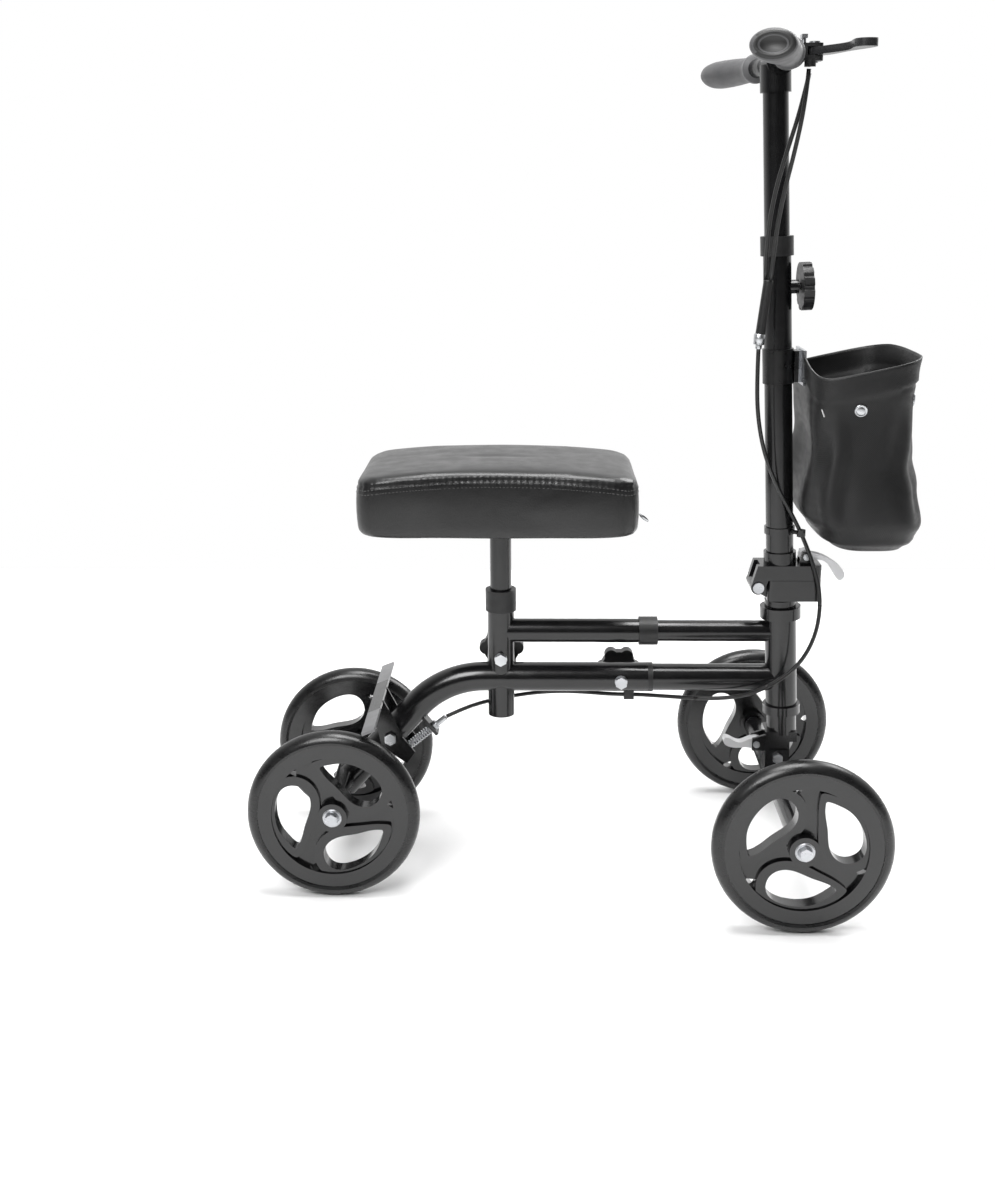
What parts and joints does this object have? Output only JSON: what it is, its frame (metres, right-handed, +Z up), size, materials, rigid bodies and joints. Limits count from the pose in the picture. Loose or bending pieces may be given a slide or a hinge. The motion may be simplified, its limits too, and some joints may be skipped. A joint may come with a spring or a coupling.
{
  "type": "knee scooter",
  "caption": "Four-wheeled knee scooter with padded knee rest, telescopic twin-beam frame, folding steering column, hand brake and front basket",
  "frame": {"origin": "Floor level, at the middle of the overall box in X and Y", "axes": "+X forward, towards the steering column; +Y to the rider's left; +Z up"},
  "size_m": [0.776, 0.4386, 0.965],
  "materials": {
    "black_powder_coat": "satin black powder coat",
    "black_moulding": "satin black nylon moulding",
    "wheel_moulding": "semi-gloss black moulded plastic",
    "tyre_rubber": "smooth black polyurethane tyre",
    "zinc_plate": "bright zinc-plated steel",
    "lever_alloy": "light-grey cast lever and pressed shoe",
    "brake_lever_alloy": "black coated alloy",
    "cable_jacket": "smooth black cable jacket",
    "grip_rubber": "grey soft grip",
    "seat_vinyl": "fine-grained black vinyl",
    "basket_nylon": "woven black nylon"
  },
  "bodies": {
    "rear_frame": {"rear_frame": "black_powder_coat", "seat_tube_collar": "black_moulding", "beam_collars": "black_moulding", "clamp_bolts": "zinc_plate", "brake_pivot_bolt": "zinc_plate", "cable_adjuster": "zinc_plate", "beam_cable_clip": "black_moulding", "cable_rear": "cable_jacket", "brake_spring": "zinc_plate", "rear_wheel_bearings": "zinc_plate", "rear_axle_bolts": "zinc_plate"},
    "front_frame": {"front_frame": "black_powder_coat", "headset_cups": "black_powder_coat", "headset_bearings": "zinc_plate", "cable_frame": "cable_jacket"},
    "fork": {"fork": "black_powder_coat", "fork_fasteners": "zinc_plate", "fork_bracket": "black_powder_coat", "headset_nut": "black_powder_coat", "fold_block": "black_powder_coat", "fold_pin": "zinc_plate", "front_wheel_bearings": "zinc_plate", "front_axle_bolts": "zinc_plate"},
    "column": {"column_foot": "black_powder_coat", "column_tube": "black_powder_coat", "column_collar": "black_moulding", "column_cable_clip": "black_powder_coat", "basket_bracket": "zinc_plate", "basket": "basket_nylon", "cable_column": "cable_jacket", "fold_draw_bolt": "zinc_plate"},
    "stem": {"stem_tube": "black_powder_coat", "handlebar": "black_powder_coat", "handlebar_clamp": "black_powder_coat", "grip_right": "grip_rubber", "grip_left": "grip_rubber", "lever_perch": "black_moulding", "lever_pin": "zinc_plate", "cable_upper": "cable_jacket", "cable_splitter": "black_moulding"},
    "seat": {"seat_post": "black_powder_coat", "seat_plate": "black_powder_coat", "seat_cushion": "seat_vinyl"},
    "rear_brake": {"brake_yoke": "black_powder_coat", "brake_shoes": "lever_alloy"},
    "brake_lever": {"brake_lever": "brake_lever_alloy"},
    "lock_button": {"lock_button": "zinc_plate"},
    "fold_lever": {"fold_lever": "lever_alloy"},
    "fork_lever": {"fork_lever": "lever_alloy"},
    "height_knob": {"height_knob": "black_moulding"},
    "seat_knob": {"seat_knob": "black_moulding"},
    "frame_knob": {"frame_knob": "black_moulding"},
    "rear_wheel_right": {"rear_rim_right": "wheel_moulding", "rear_tyre_right": "tyre_rubber"},
    "rear_wheel_left": {"rear_rim_left": "wheel_moulding", "rear_tyre_left": "tyre_rubber"},
    "front_wheel_right": {"front_rim_right": "wheel_moulding", "front_tyre_right": "tyre_rubber"},
    "front_wheel_left": {"front_rim_left": "wheel_moulding", "front_tyre_left": "tyre_rubber"}
  },
  "joints": [
    {"name": "frame_length", "type": "slide", "parent": "rear_frame", "child": "front_frame", "axis": [1, 0, 0], "range_m": [0, 0.05], "deforming": ["cable_rear"]},
    {"name": "steer", "type": "hinge", "parent": "front_frame", "child": "fork", "pos_m": [0.237, 0, 0.315], "axis": [-0.0401, 0, 0.9992], "range_deg": [-35, 35], "deforming": ["cable_frame"]},
    {"name": "fold", "type": "hinge", "parent": "fork", "child": "column", "pos_m": [0.207, 0, 0.345], "axis": [0, -1, 0], "range_deg": [0, 44], "deforming": ["cable_column"]},
    {"name": "handlebar_height", "type": "slide", "parent": "column", "child": "stem", "axis": [-0.0401, 0, 0.9992], "range_m": [-0.15, 0], "deforming": ["cable_upper", "cable_splitter"]},
    {"name": "seat_height", "type": "slide", "parent": "rear_frame", "child": "seat", "axis": [0, 0, 1], "range_m": [-0.05, 0]},
    {"name": "rear_wheel_right_spin", "type": "hinge", "parent": "rear_frame", "child": "rear_wheel_right", "pos_m": [-0.288, -0.107, 0.1], "axis": [0, 1, 0], "continuous": true},
    {"name": "rear_wheel_left_spin", "type": "hinge", "parent": "rear_frame", "child": "rear_wheel_left", "pos_m": [-0.288, 0.107, 0.1], "axis": [0, 1, 0], "continuous": true},
    {"name": "front_wheel_right_spin", "type": "hinge", "parent": "fork", "child": "front_wheel_right", "pos_m": [0.237, -0.185, 0.1], "axis": [0, 1, 0], "continuous": true},
    {"name": "front_wheel_left_spin", "type": "hinge", "parent": "fork", "child": "front_wheel_left", "pos_m": [0.237, 0.185, 0.1], "axis": [0, 1, 0], "continuous": true},
    {"name": "brake_lever_pull", "type": "hinge", "parent": "stem", "child": "brake_lever", "pos_m": [0.239, -0.082, 0.948], "axis": [0, 0, -1], "range_deg": [0, 25], "stiffness_Nm_per_rad": 1.5},
    {"name": "rear_brake_swing", "type": "hinge", "parent": "rear_frame", "child": "rear_brake", "pos_m": [-0.2293, 0, 0.1578], "axis": [0, -1, 0], "range_deg": [0, 5], "deforming": ["brake_spring"]},
    {"name": "lock_press", "type": "slide", "parent": "stem", "child": "lock_button", "axis": [0, 0, -1], "range_m": [0, 0.003], "stiffness_N_per_m": 300},
    {"name": "fold_lever_open", "type": "hinge", "parent": "column", "child": "fold_lever", "pos_m": [0.264, 0, 0.38], "axis": [0, -1, 0], "range_deg": [0, 30]},
    {"name": "fork_lever_open", "type": "hinge", "parent": "fork", "child": "fork_lever", "pos_m": [0.212, 0, 0.146], "axis": [0, -1, 0], "range_deg": [0, 70]},
    {"name": "height_knob_turn", "type": "hinge", "parent": "column", "child": "height_knob", "pos_m": [0.22174, 0, 0.695], "axis": [0.9992, 0, 0.0401], "continuous": true},
    {"name": "seat_knob_turn", "type": "hinge", "parent": "rear_frame", "child": "seat_knob", "pos_m": [-0.096, 0, 0.2556], "axis": [0, 1, 0], "continuous": true},
    {"name": "frame_knob_turn", "type": "hinge", "parent": "rear_frame", "child": "frame_knob", "pos_m": [0.0475, 0, 0.228], "axis": [0, 1, 0], "continuous": true}
  ],
  "couplings": [
    {"joint": "rear_brake_swing", "follows": "brake_lever_pull", "ratio": 0.2}
  ]
}
